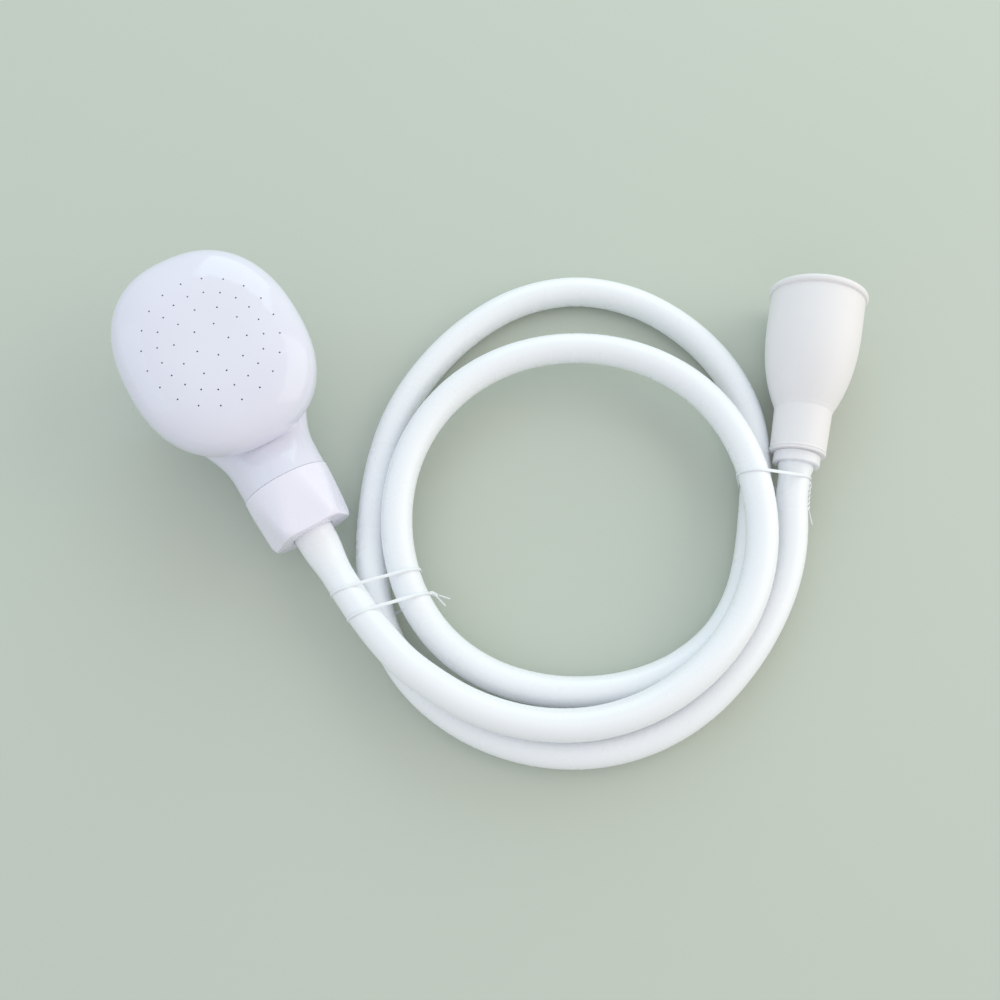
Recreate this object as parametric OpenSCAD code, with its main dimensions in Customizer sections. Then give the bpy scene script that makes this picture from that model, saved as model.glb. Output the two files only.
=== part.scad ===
// Handheld bath sprayer: an oval spray head on a coiled clear hose, with a rubber cup that slips over a
// bath tap. It lies on its back with the hose coiled and tied, the way it is kept in a drawer.
// Millimetres, +Z up. The origin is on the floor, under the middle of the head, nut and cup together.

/* [Spray head] */
// Height of the face's crown above the handle axis
face_crown = 31; // [29:0.5:33]
// Height of the face's rim above the handle axis
face_rim = 14.3; // [13.5:0.1:15]
// Half length of the face, on the handle side
face_front = 38.6; // [37:0.1:40]
// Half length of the face, on the far side
face_back = 40.6; // [39:0.1:43]
// Half width of the face
face_half_width = 34.3; // [32.5:0.1:36]
// Depth of the palm-side bowl below the handle axis
bowl_depth = 27.75; // [26:0.05:27.8]
// Wall of the face and of the bowl
head_wall = 2.2; // [1.8:0.1:2.6]
// Spray holes in each ring, from the middle out
ring_holes = [5, 10, 20, 20];
// Radius of each ring of spray holes
ring_radii = [6.3, 12.75, 18.65, 24.4];
// Turn of the rings of holes, against the handle axis
ring_turn = -1.2; // [-9:0.1:9]
// Diameter of one spray hole
hole_diameter = 0.7; // [0.6:0.1:1.5]

/* [Union nut] */
// Distance from the face's rim to the hose end of the nut
neck_reach = 35; // [33:0.1:37]
// Outer diameter of the nut
nut_diameter = 34; // [32:0.5:36]
// Grip flats round the nut
nut_flats = 5; // [5:1:8]
// Distance from the nut's axis to a flat at the hose end
flat_reach = 14; // [13.5:0.1:15]
// Length of the nut
nut_length = 21.3; // [20:0.1:24]
// Outside diameter of the half-inch pipe spigot
spigot_diameter = 20.955; // [20.5:0.005:21.5]

/* [Hose] */
// Outside diameter of the hose
hose_diameter = 12; // [11:0.5:12.5]
// Bore of the hose
hose_bore = 8; // [6:0.5:9]
// Straight hose beyond the nut
nut_straight = 12; // [12:0.5:14]
// Straight hose before the collar of the tap cup
cup_straight = 12; // [12:0.5:14]
// Middle of the coil, across and along
coil_middle = [32, -7];

/* [Tap cup] */
// Length of the cup from its neck to its mouth
cup_length = 68.2; // [62:0.1:72]
// Radius of the cup's lip
lip_radius = 19.4; // [18.9:0.05:19.5]
// Radius of the round land that grips the tap
land_radius = 16.1; // [15:0.1:16.2]
// Length of that land
land_length = 15; // [12:0.5:18]
// Wall of the cup
cup_wall = 2.3; // [2:0.1:2.6]

/* [Twist ties] */
// Width of the tie's flat wire
tie_width = 1.3; // [1:0.1:2]
// Thickness of the tie's flat wire
tie_thickness = 0.4; // [0.3:0.05:0.4]

/* [Hidden] */
$fn = 64;

// Middle of the own pieces over the floor, which becomes the origin.
origin = [2.55, 28.57, 0];

// ---- Head ----
// The handle axis is the head's local x axis, the face looks along local z, and zero is under the middle
// of the spray holes.
nut_end = face_front + neck_reach;
nut_end_place = [-70.5, -18.6, 17];
head_heading = -59.3;
head_pitch = 8.5;
head_roll = -4.1;
seam = nut_end - nut_length;
seam_gap = 0.15;

outline_power = 2.33;
dome_power = 3;
bowl_power = 2;
outline_sides = 48;
dome_rows = 9;
skirt = 3;
seal_height = 1.2;

spigot_end = seam + 9.7;
spigot_bore = 14;
neck_bore = 26;
washer_thickness = 2;
washer_end = spigot_end + washer_thickness;
flange_thickness = 2.5;
flange_end = washer_end + flange_thickness;
nut_hole_radius = 8;
running_gap = 0.05;

// ---- Hose ----
hose_radius = hose_diameter / 2;
tail_bore_radius = 3.25;
barb_radius = 5.3;
cuff_radius = 7.65;
tail_reach = 15;
rings_per_turn = 24;
tube_sides = 6;

// Reach from the coil's middle and height of the hose's axis, at every eighth of a turn. The hose comes
// off the nut at five eighths of a turn and goes to the cup after 2 and a quarter turns more.
coil_start = 225;
knot_step = 45;
coil_reach = [
  90, 83, 73.6, 66.8, 66.5, 66.7, 69.3, 71.8,
  74.7, 70.5, 70.3, 67.4, 86.1, 97.8, 86.8, 81.6,
  92.6, 92.1, 83.2
];
coil_height = [
  21.4, 18, 19.2, 19.6, 17.4, 15.4, 14.9, 14.8,
  11.3, 7.7, 6.9, 6.9, 6.15, 6.9, 6.7, 6.8,
  6.7, 7, 8.2
];

// ---- Ties ----
// Each band has a place over the floor, a heading and how far it reaches each way. The tails' ends are
// points, and each tail starts at the last band of its tie.
tie_slack = 0.3;
left_bands = [
  [[-47, -37.7, 0], 18, 27],
  [[-41.5, -47, 0], 21, 22]
];
left_tail = [[-25, -41, 12.5], [-19.5, -44.3, 12]];
right_bands = [[[105, 4, 0], 0, 20]];
right_tail = [[120.3, -4, 8.4], [119.7, -12.5, 7.6]];

// ---- Tap cup ----
cup_place = [116.35, 14.2, 13.5];
cup_heading = 79.1;
cup_rise = 5.8;
collar_length = 4.4;
collar_radius = 8.9;
cup_hose_radius = 6.75;
plug_flange_radius = 8.8;
plug_flange_start = 15.5;
plug_flange_end = plug_flange_start + flange_thickness;
neck_radius = 10.6;
neck_rise = 0.5;
shoulder = 18.3;
belly_rise = 37.7;
belly_power = 2.55;
belly_steps = 10;
body_radius = land_radius + cup_wall;
bead = 0.3;
bead_height = 1.4;
lip_length = 2.8;
lip_round = 0.4;

module placed() {
  translate(-origin)
    children();
}

module at_head() {
  placed()
    translate(nut_end_place)
      rotate([head_roll, head_pitch, head_heading])
        translate([-nut_end, 0, 0])
          children();
}

// Turns a shape drawn along z so that it lies along the handle axis.
module along_handle() {
  at_head()
    rotate([0, 90, 0])
      children();
}

module at_cup() {
  placed()
    translate(cup_place)
      rotate([0, 90 - cup_rise, cup_heading])
        children();
}

// ---- Outline and skins of the head ----
function signed_power(v, p) = sign(v) * pow(abs(v), p);

// One point of the head's oval outline, at an angle and inset from the face's edge.
function outline_point(angle, inset) =
  let(reach = (cos(angle) >= 0 ? face_front : face_back) - inset)
  [
    reach * signed_power(cos(angle), 2 / outline_power),
    (face_half_width - inset) * signed_power(sin(angle), 2 / outline_power)
  ];

function outline_ring(inset, scale, z) = [
  for (i = [0:outline_sides - 1])
    let(p = outline_point(i * 360 / outline_sides, inset))
      [p[0] * scale, p[1] * scale, z]
];

// Rings of a dome that starts at the height base and rises, or falls, by rise.
function dome_rings(inset, base, rise, power) = [
  for (j = [0:dome_rows - 1])
    let(angle = 90 - 90 * j / dome_rows)
      outline_ring(inset, pow(sin(angle), 2 / power), base + rise * pow(cos(angle), 2 / power))
];

// Points and faces of a skin through rings, closed by a point at each end.
function stack(rings) = [for (ring = rings) each ring];

function side_faces(count, sides, first = 0) = [
  for (j = [0:count - 2])
    for (i = [0:sides - 1])
      let(
        a = first + j * sides + i,
        b = first + j * sides + (i + 1) % sides,
        c = a + sides,
        d = b + sides
      )
      each [[a, c, b], [b, c, d]]
];

// A closed solid through rings that run upward, with a flat bottom and a point at the top.
module dome_solid(rings, tip) {
  count = len(rings);
  sides = len(rings[0]);
  top = (count - 1) * sides;
  polyhedron(
    points = concat(stack(rings), [tip]),
    faces = concat(
      [[for (i = [0:sides - 1]) i]],
      side_faces(count, sides),
      [for (i = [0:sides - 1]) [top + i, count * sides, top + (i + 1) % sides]]
    )
  );
}

module face_shell() {
  outer = dome_rings(0, face_rim, face_crown - face_rim, dome_power);
  inner = concat(
    [outline_ring(head_wall, 1, face_rim - 1)],
    dome_rings(head_wall, face_rim + skirt, face_crown - head_wall - face_rim - skirt, dome_power)
  );
  color("white")
    at_head()
      difference() {
        dome_solid(outer, [0, 0, face_crown]);
        dome_solid(inner, [0, 0, face_crown - head_wall]);
        spray_holes();
      }
}

module spray_holes() {
  for (ring = [0:len(ring_holes) - 1])
    for (i = [0:ring_holes[ring] - 1])
      rotate([0, 0, ring_turn + i * 360 / ring_holes[ring]])
        translate([ring_radii[ring], 0, face_rim])
          cylinder(d = hole_diameter, h = face_crown - face_rim + 1, $fn = 16);
}

// The bowl hangs from the face's rim. Its top edge stands up inside the face's skirt.
module bowl(inset, top, drop) {
  rings = concat(
    [outline_ring(inset, 1, -top)],
    dome_rings(inset, -face_rim, drop, bowl_power)
  );
  mirror([0, 0, 1])
    dome_solid(rings, [0, 0, drop - face_rim]);
}

// A neck section: round at the seam, and wider toward the bowl.
function neck_section(x, half_width, above, below) = [
  for (i = [0:31])
    let(a = i * 360 / 32)
      [x, half_width * cos(a), (sin(a) >= 0 ? above : below) * sin(a)]
];

module neck() {
  seam_radius = nut_diameter / 2 - 0.3;
  sections = [
    neck_section(seam - seam_gap, seam_radius, seam_radius, seam_radius),
    neck_section(seam - 6, seam_radius, 16, seam_radius),
    neck_section(seam - 13, seam_radius + 0.4, face_rim - 0.4, seam_radius + 0.4),
    neck_section(seam - 19, seam_radius + 2.3, face_rim - 1.3, seam_radius + 1.4),
    neck_section(seam - 27, seam_radius + 6, face_rim - 2.8, seam_radius + 2.2)
  ];
  count = len(sections);
  polyhedron(
    points = stack(sections),
    faces = concat(
      [[for (i = [31:-1:0]) i]],
      [for (f = side_faces(count, 32)) [f[2], f[1], f[0]]],
      [[for (i = [0:31]) (count - 1) * 32 + i]]
    )
  );
}

module back_shell() {
  color("white")
    at_head()
      difference() {
        union() {
          bowl(head_wall, face_rim + skirt, face_rim + bowl_depth);
          neck();
          rotate([0, 90, 0])
            translate([0, 0, seam - 3])
              cylinder(d = spigot_diameter, h = spigot_end - seam + 3);
        }
        bowl(2 * head_wall, face_rim + skirt + 1, face_rim + bowl_depth - head_wall);
        rotate([0, 90, 0]) {
          translate([0, 0, 20])
            cylinder(d = spigot_bore, h = spigot_end - 19);
          translate([0, 0, 20])
            cylinder(d = neck_bore, h = seam - 25);
        }
      }
}

module face_seal() {
  color("gray")
    at_head()
      translate([0, 0, face_rim + skirt])
        linear_extrude(seal_height)
          difference() {
            polygon([for (p = outline_ring(head_wall, 1, 0)) [p[0], p[1]]]);
            polygon([for (p = outline_ring(2 * head_wall, 1, 0)) [p[0], p[1]]]);
          }
}

// ---- Union ----
module union_nut() {
  radius = nut_diameter / 2;
  chamfer = 2.2;
  end_radius = radius - 1.3;
  bore_radius = spigot_diameter / 2 + running_gap;
  flat_lean = atan((radius - flat_reach) / (nut_length - chamfer));
  color("white")
    along_handle()
      translate([0, 0, seam])
        difference() {
          rotate_extrude()
            polygon([
              [bore_radius, 0],
              [radius - 0.6, 0],
              [radius, 0.6],
              [radius, nut_length - chamfer],
              [end_radius, nut_length - 0.4],
              [end_radius - 0.4, nut_length],
              [nut_hole_radius, nut_length],
              [nut_hole_radius, flange_end - seam],
              [bore_radius, flange_end - seam]
            ]);
          for (i = [0:nut_flats - 1])
            rotate([0, 0, 180 + i * 360 / nut_flats])
              translate([flat_reach, -radius, nut_length])
                rotate([0, -flat_lean, 0])
                  translate([0, 0, -nut_length - 2])
                    cube([10, 2 * radius, nut_length + 6]);
        }
}

module union_washer() {
  color("dimgray")
    along_handle()
      translate([0, 0, spigot_end])
        difference() {
          cylinder(d = spigot_diameter - 0.8, h = washer_thickness);
          translate([0, 0, -1])
            cylinder(d = spigot_bore - 1, h = washer_thickness + 2);
        }
}

// A barbed tail with a flange, drawn along z with the flange's back face at zero and the barbs below it.
module barbed_tail(flange_radius) {
  barb_pitch = (tail_reach - 3) / 3;
  rotate_extrude()
    polygon(concat(
      [
        [tail_bore_radius, flange_thickness],
        [flange_radius, flange_thickness],
        [flange_radius, 0]
      ],
      [
        for (i = [0:2])
          each [
            [barb_radius - 0.5, -i * barb_pitch],
            [barb_radius - 0.5, -2 - i * barb_pitch],
            [barb_radius, -2 - i * barb_pitch]
          ]
      ],
      [
        [barb_radius - 0.7, -tail_reach],
        [tail_bore_radius, -tail_reach]
      ]
    ));
}

module head_tail() {
  color("gainsboro")
    along_handle()
      translate([0, 0, flange_end])
        rotate([180, 0, 0])
          barbed_tail(spigot_diameter / 2 - 1);
}

module hose_head_end() {
  hose_end = nut_end + nut_straight;
  tail_end = flange_end + tail_reach;
  color("azure")
    along_handle()
      rotate_extrude()
        polygon([
          [barb_radius, flange_end],
          [cuff_radius, flange_end],
          [cuff_radius, nut_end + nut_straight / 4],
          [cuff_radius - 0.5, nut_end + nut_straight * 0.7],
          [hose_radius + 0.4, nut_end + nut_straight * 0.95],
          [hose_radius, hose_end],
          [hose_bore / 2, hose_end],
          [hose_bore / 2, tail_end + 2],
          [barb_radius, tail_end]
        ]);
}

// ---- Coil ----
// Smooth curve through a list of values, by Catmull and Rom's rule.
function knot(list, i) =
  i < 0 ? 2 * list[0] - list[1]
  : i > len(list) - 1 ? 2 * list[len(list) - 1] - list[len(list) - 2]
  : list[i];

function smooth(list, u) =
  let(
    i = min(floor(u), len(list) - 2),
    f = u - i,
    a = knot(list, i - 1),
    b = list[i],
    c = list[i + 1],
    d = knot(list, i + 2)
  )
  b + f / 2 * (c - a + f * (2 * a - 5 * b + 4 * c - d + f * (3 * (b - c) + d - a)));

function coil_point(angle) =
  let(u = (angle - coil_start) / knot_step, reach = smooth(coil_reach, u))
  [
    coil_middle[0] + reach * cos(angle),
    coil_middle[1] + reach * sin(angle),
    smooth(coil_height, u)
  ];

function unit(v) = v / norm(v);

function bend(a, b, c, d, t) =
  pow(1 - t, 3) * a + 3 * t * pow(1 - t, 2) * b + 3 * t * t * (1 - t) * c + t * t * t * d;

// Directions of the two straight ends, both along the way that the water would take to the cup.
nut_way = [
  cos(head_pitch) * cos(head_heading),
  cos(head_pitch) * sin(head_heading),
  -sin(head_pitch)
];
cup_way = [
  cos(cup_rise) * cos(cup_heading),
  cos(cup_rise) * sin(cup_heading),
  sin(cup_rise)
];
coil_end = coil_start + knot_step * (len(coil_reach) - 1);
ring_step = 360 / rings_per_turn;
lead_start = nut_end_place + nut_straight * nut_way;
lead_end = coil_point(coil_start);
lead_way = unit(coil_point(coil_start + 0.5) - lead_end);
last_start = coil_point(coil_end);
last_way = unit(last_start - coil_point(coil_end - 0.5));
last_end = cup_place - (collar_length + cup_straight) * cup_way;
lead_handles = [9, 17];
last_handles = [43, 8];
lead_rings = 4;
last_rings = 6;

// The hose's axis from the nut to the cup: a bend, the coil and a bend.
hose_axis = concat(
  [
    for (i = [0:lead_rings - 1])
      bend(
        lead_start,
        lead_start + lead_handles[0] * nut_way,
        lead_end - lead_handles[1] * lead_way,
        lead_end,
        i / lead_rings
      )
  ],
  [for (angle = [coil_start:ring_step:coil_end]) coil_point(angle)],
  [
    for (i = [1:last_rings])
      bend(
        last_start,
        last_start + last_handles[0] * last_way,
        last_end - last_handles[1] * cup_way,
        last_end,
        i / last_rings
      )
  ]
);
hose_rings = len(hose_axis);

function hose_way(i) =
  i == 0 ? nut_way
  : i == hose_rings - 1 ? cup_way
  : unit(hose_axis[i + 1] - hose_axis[i - 1]);

function hose_ring(i, radius) =
  let(
    way = hose_way(i),
    side = unit(cross([0, 0, 1], way)),
    up = cross(way, side)
  )
  [
    for (k = [0:tube_sides - 1])
      hose_axis[i] + radius * (cos(90 + k * 360 / tube_sides) * side + sin(90 + k * 360 / tube_sides) * up)
  ];

// Least distance between two stretches of the axis that are not neighbours, less one hose diameter.
function between(a, b, t) = a + (b - a) * t;
fine_axis = [
  for (i = [0:hose_rings - 2])
    for (t = [0, 0.25, 0.5, 0.75])
      between(hose_axis[i], hose_axis[i + 1], t)
];
own_gap = min([
  for (i = [0:len(fine_axis) - 1])
    for (j = [i + 16:1:len(fine_axis) - 1])
      norm(fine_axis[i] - fine_axis[j])
]) - hose_diameter;
free_length = let(steps = [for (i = [1:hose_rings - 1]) norm(hose_axis[i] - hose_axis[i - 1])])
  steps * [for (s = steps) 1];
echo(own_gap = own_gap, free_length = free_length, rings = hose_rings);

module hose_coil() {
  outer = [for (i = [0:hose_rings - 1]) each hose_ring(i, hose_radius)];
  inner = [for (i = [0:hose_rings - 1]) each hose_ring(i, hose_bore / 2)];
  shift = len(outer);
  last = shift - tube_sides;
  color("azure")
    placed()
      polyhedron(
        points = concat(outer, inner),
        faces = concat(
          side_faces(hose_rings, tube_sides),
          [for (f = side_faces(hose_rings, tube_sides, shift)) [f[2], f[1], f[0]]],
          [
            for (k = [0:tube_sides - 1])
              let(n = (k + 1) % tube_sides)
                each [
                  [k, n, shift + k],
                  [n, shift + n, shift + k],
                  [last + n, last + k, last + shift + n],
                  [last + k, last + shift + k, last + shift + n]
                ]
          ]
        )
      );
}

// ---- Tap cup ----
module hose_tap_end() {
  color("azure")
    at_cup()
      rotate_extrude()
        polygon([
          [hose_bore / 2, -collar_length - cup_straight],
          [hose_radius, -collar_length - cup_straight],
          [hose_radius, -collar_length - cup_straight / 3],
          [cup_hose_radius, -collar_length - 1],
          [cup_hose_radius, plug_flange_start],
          [barb_radius, plug_flange_start],
          [barb_radius, plug_flange_start - tail_reach],
          [hose_bore / 2, plug_flange_start - tail_reach - 2]
        ]);
}

module tap_tail() {
  color("gainsboro")
    at_cup()
      translate([0, 0, plug_flange_start])
        barbed_tail(plug_flange_radius);
}

module tap_ferrule() {
  color("white")
    at_cup()
      rotate_extrude()
        polygon([
          [cup_hose_radius, -collar_length],
          [collar_radius - 0.6, -collar_length],
          [collar_radius, -collar_length + 0.6],
          [collar_radius, 0],
          [cup_hose_radius, 0]
        ]);
}

// Radius of the cup's belly, which swells from the shoulder and eases into the straight body.
function belly_radius(u) =
  let(start = neck_radius + neck_rise)
  start + (body_radius - start) * (1 - pow(1 - u, belly_power));

module tap_bell() {
  bore = cup_hose_radius + running_gap;
  land_start = cup_length - lip_round - land_length;
  color("whitesmoke")
    at_cup()
      rotate_extrude()
        polygon(concat(
          [
            [bore, 0],
            [neck_radius - bead, 0],
            [neck_radius, bead],
            [neck_radius, bead_height - bead],
            [neck_radius + bead, bead_height],
            [neck_radius, bead_height + bead]
          ],
          [
            for (i = [0:belly_steps])
              let(u = i / belly_steps)
                [belly_radius(u), shoulder + belly_rise * u]
          ],
          [
            [body_radius, cup_length - lip_length - 0.7],
            [lip_radius, cup_length - lip_length],
            [lip_radius, cup_length - lip_round],
            [lip_radius - lip_round, cup_length],
            [land_radius + lip_round, cup_length],
            [land_radius, cup_length - lip_round],
            [land_radius, land_start]
          ],
          [
            for (i = [belly_steps - 2:-1:1])
              let(u = i / belly_steps)
                [belly_radius(u) - cup_wall, shoulder + belly_rise * u]
          ],
          [
            [plug_flange_radius + running_gap, plug_flange_end],
            [plug_flange_radius + running_gap, plug_flange_start],
            [bore, plug_flange_start]
          ]
        ));
}

// ---- Twist ties ----
// The hose's axis with its straight ends, for finding where it passes through a tie.
tied_axis = concat([nut_end_place], hose_axis, [cup_place]);

// Where the hose passes through the upright plane at a place and heading: across the plane, and up.
function strands_at(place, heading, reach) =
  let(along = [cos(heading), sin(heading), 0], normal = [-sin(heading), cos(heading), 0])
  [
    for (i = [0:len(tied_axis) - 2])
      let(
        a = tied_axis[i] - place,
        b = tied_axis[i + 1] - place,
        t = a * normal / ((a - b) * normal),
        p = between(a, b, t)
      )
      if (t >= 0 && t < 1 && abs(p * along) < reach)
        [p * along, p[2]]
  ];

// The far side of a band: the middle of the wire beside the strand that lies farthest across.
function band_side(band) =
  let(
    strands = strands_at(band[0], band[1], band[2]),
    far = max([for (s = strands) s[0]]),
    height = [for (s = strands) if (s[0] == far) s[1]][0],
    across = far + hose_radius + tie_slack + tie_width / 2
  )
  band[0] + [across * cos(band[1]), across * sin(band[1]), height];

// A flat wire round the strands, once for each band, with its two ends twisted into a tail.
module tie(bands, tail_points) {
  wire = concat([for (band = bands) band_side(band)], tail_points);
  placed() {
    for (band = bands)
      translate(band[0])
        rotate([90, 0, band[1]])
          translate([0, 0, -tie_width / 2])
            linear_extrude(tie_width)
              difference() {
                tie_outline(strands_at(band[0], band[1], band[2]), tie_slack + tie_thickness);
                tie_outline(strands_at(band[0], band[1], band[2]), tie_slack);
              }
    for (i = [0:len(wire) - 2])
      rod(wire[i], wire[i + 1], tie_width / 2);
  }
}

module tie_outline(strands, distance) {
  hull()
    for (s = strands)
      translate(s)
        circle(r = hose_radius + distance, $fn = 32);
}

module rod(a, b, radius) {
  way = b - a;
  translate(a)
    rotate([0, acos(way[2] / norm(way)), atan2(way[1], way[0])])
      cylinder(r = radius, h = norm(way), $fn = 12);
}

module tie_left() {
  color("whitesmoke")
    tie(left_bands, left_tail);
}

module tie_right() {
  color("whitesmoke")
    tie(right_bands, right_tail);
}

face_shell();
back_shell();
face_seal();
union_nut();
union_washer();
head_tail();
hose_head_end();
hose_coil();
hose_tap_end();
tap_tail();
tap_ferrule();
tap_bell();
tie_left();
tie_right();
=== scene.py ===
"""Handheld bath sprayer: the finished surfaces of the spray head, union nut, coiled hose, ties and tap cup.

Lengths are in millimetres until a surface is put into its mesh, which is in metres. The numbers repeat the
part's own: the head is drawn round its handle axis, the tap cup round its own axis, and the hose on the floor.
"""
import math

import bpy
import numpy as np
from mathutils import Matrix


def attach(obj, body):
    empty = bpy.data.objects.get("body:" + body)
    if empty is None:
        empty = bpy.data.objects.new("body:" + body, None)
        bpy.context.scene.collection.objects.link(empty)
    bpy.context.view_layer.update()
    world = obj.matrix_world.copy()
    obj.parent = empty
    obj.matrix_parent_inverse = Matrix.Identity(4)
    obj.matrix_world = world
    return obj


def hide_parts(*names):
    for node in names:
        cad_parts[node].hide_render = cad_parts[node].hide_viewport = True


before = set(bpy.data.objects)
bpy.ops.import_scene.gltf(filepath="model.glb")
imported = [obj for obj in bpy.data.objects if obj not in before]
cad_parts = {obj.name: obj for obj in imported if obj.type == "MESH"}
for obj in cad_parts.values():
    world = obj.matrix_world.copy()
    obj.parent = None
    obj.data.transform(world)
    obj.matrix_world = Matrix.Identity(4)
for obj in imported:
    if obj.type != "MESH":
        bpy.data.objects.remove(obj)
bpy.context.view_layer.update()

# The drawing's point that becomes the part's origin
ORIGIN = np.array([2.55, 28.57, 0.0])

# Spray face and bowl: x runs along the handle axis toward the hose, and z is the height over that axis
FACE_CROWN = 31.0
FACE_RIM = 14.3
FACE_FRONT = 38.6
FACE_BACK = 40.6
FACE_HALF_WIDTH = 34.3
OUTLINE_POWER = 2.33
DOME_POWER = 3.0
BOWL_DEPTH = 27.75
BOWL_POWER = 2.0
HEAD_WALL = 2.2
SKIRT = 3.0
EDGE_FILLET = 0.45
RING_HOLES = (5, 10, 20, 20)
RING_RADII = (6.3, 12.75, 18.65, 24.4)
RING_TURN = -1.2  # degrees
HOLE_RADIUS = 0.35
MOUTH_RADIUS = HOLE_RADIUS + 0.05
THROAT_RADIUS = HOLE_RADIUS - 0.03
MOUTH_DEPTH = 0.08

# Union: the nut runs from the seam to its hose end along the handle axis
NUT_LENGTH = 21.3
NUT_RADIUS = 17.0
NUT_FLATS = 5
FLAT_REACH = 14.0
CHAMFER = 2.2
NUT_HOLE = 8.0
NECK_REACH = 35.0
NUT_END = FACE_FRONT + NECK_REACH
SEAM = NUT_END - NUT_LENGTH
SEAM_GAP = 0.15
RUNNING_FIT = 0.05
NECK_BORE = 13.0
SPIGOT_RADIUS = 20.955 / 2  # half the major diameter of a half-inch pipe thread
SPIGOT_BORE = 7.0
SPIGOT_LENGTH = 9.7
SPIGOT_END = SEAM + SPIGOT_LENGTH
SPIGOT_ROOT = SEAM - 5.5
THREAD_PITCH = 1.814
THREAD_DEPTH = 1.1
WASHER_AND_FLANGE = 4.5
FLANGE_END = SPIGOT_END + WASHER_AND_FLANGE

# Tap cup: z runs along its axis toward the mouth, from the neck's end
CUP_LENGTH = 68.2
CUP_WALL = 2.3
CUP_HOSE_RADIUS = 6.75
LAND_RADIUS = 16.1
LAND_LENGTH = 15.0
LIP_RADIUS = 19.4
LIP_HALF_HEIGHT = 1.35
SHOULDER_RADIUS = 11.1
SHOULDER_END = 19.2
BELLY_START = 18.3
BELLY_HEIGHT = 37.7
BELLY_POWER = 2.55
BODY_START = 57.5
COLLAR_LENGTH = 4.4
COLLAR_RADIUS = 8.9
FLANGE_START = 15.5
FLANGE_RADIUS = 8.85

# Hose, with the reach from the coil's middle and the height of its axis at every eighth of a turn; the coil's
# start and steps are in degrees
HOSE_RADIUS = 6.0
BORE_RADIUS = 4.0
BARB_RADIUS = 5.3
CUFF_RADIUS = 7.65
TAIL_REACH = 15.0
NUT_STRAIGHT = 12.0
CUP_STRAIGHT = 12.0
COIL_MIDDLE = np.array([32.0, -7.0])
COIL_START, KNOT_STEP, RING_STEP = 225, 45, 15
COIL_REACH = np.array([
    90, 83, 73.6, 66.8, 66.5, 66.7, 69.3, 71.8, 74.7, 70.5,
    70.3, 67.4, 86.1, 97.8, 86.8, 81.6, 92.6, 92.1, 83.2])
COIL_HEIGHT = np.array([
    21.4, 18, 19.2, 19.6, 17.4, 15.4, 14.9, 14.8, 11.3, 7.7,
    6.9, 6.9, 6.15, 6.9, 6.7, 6.8, 6.7, 7, 8.2])

# Twist ties
TIE_HALF_WIDTH = 0.65
TIE_HALF_THICK = 0.2
TIE_SLACK = 0.36
FLOOR_GAP = 0.05


# ---- Places ----
def turned(x=0.0, y=0.0, z=0.0):
    """Turn about x, then y, then z, in degrees, as one matrix."""
    a, b, c = np.radians([x, y, z])
    about_x = np.array([[1, 0, 0], [0, np.cos(a), -np.sin(a)], [0, np.sin(a), np.cos(a)]])
    about_y = np.array([[np.cos(b), 0, np.sin(b)], [0, 1, 0], [-np.sin(b), 0, np.cos(b)]])
    about_z = np.array([[np.cos(c), -np.sin(c), 0], [np.sin(c), np.cos(c), 0], [0, 0, 1]])
    return about_z @ about_y @ about_x


HEAD_TURN = turned(-4.1, 8.5, -59.3)
HEAD_PLACE = np.array([-70.5, -18.6, 17.0]) - ORIGIN
CUP_TURN = turned(0, 90 - 5.8, 79.1)
CUP_PLACE = np.array([116.35, 14.2, 13.5]) - ORIGIN
NUT_WAY = HEAD_TURN @ [1, 0, 0]
CUP_WAY = CUP_TURN @ [0, 0, 1]


def at_head(points):
    """Head's own millimetres to the floor's."""
    return (np.asarray(points, float) - [NUT_END, 0, 0]) @ HEAD_TURN.T + HEAD_PLACE


def at_cup(points):
    """Cup's own millimetres to the floor's."""
    return np.asarray(points, float) @ CUP_TURN.T + CUP_PLACE


# ---- Camera ----
camera = bpy.data.objects.new("camera", bpy.data.cameras.new("camera"))
camera.data.lens = 36
camera.data.sensor_width = 36
camera.location = (-0.00255, -0.15217, 0.3804)
camera.rotation_euler = (math.radians(18), 0, 0)
bpy.context.scene.collection.objects.link(camera)
bpy.context.scene.camera = camera


# ---- Points ----
def around(columns):
    """Angles of evenly spaced columns round a circle, from 0."""
    return np.arange(columns) * 2 * np.pi / columns


def polar(reach, angle, z):
    """Points at a reach and angle round the z axis and a height: (r cos a, r sin a, z)."""
    return np.stack([reach * np.cos(angle), reach * np.sin(angle), z + 0 * reach * angle], -1)


def along_handle(radius, angle, x):
    """Points at a radius and angle round the handle axis and a place along it: (x, r sin a, -r cos a)."""
    return np.stack([x + 0 * radius * angle, radius * np.sin(angle), -radius * np.cos(angle)], -1)


def unit(v):
    """Vectors brought to length one."""
    return v / np.linalg.norm(v, axis=-1, keepdims=True)


def eased(u):
    """Smooth step from 0 to 1: u squared times 3 - 2 u."""
    u = np.clip(u, 0, 1)
    return u * u * (3 - 2 * u)


def run_along(path):
    """Distance along a path at each of its points."""
    return np.concatenate([[0], np.cumsum(np.linalg.norm(np.diff(path, axis=0), axis=1))])


def read_at(at, run, values):
    """Rows of values at the distances at, taken straight between their own distances run."""
    return np.stack([np.interp(at, run, column) for column in values.T], -1)


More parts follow.
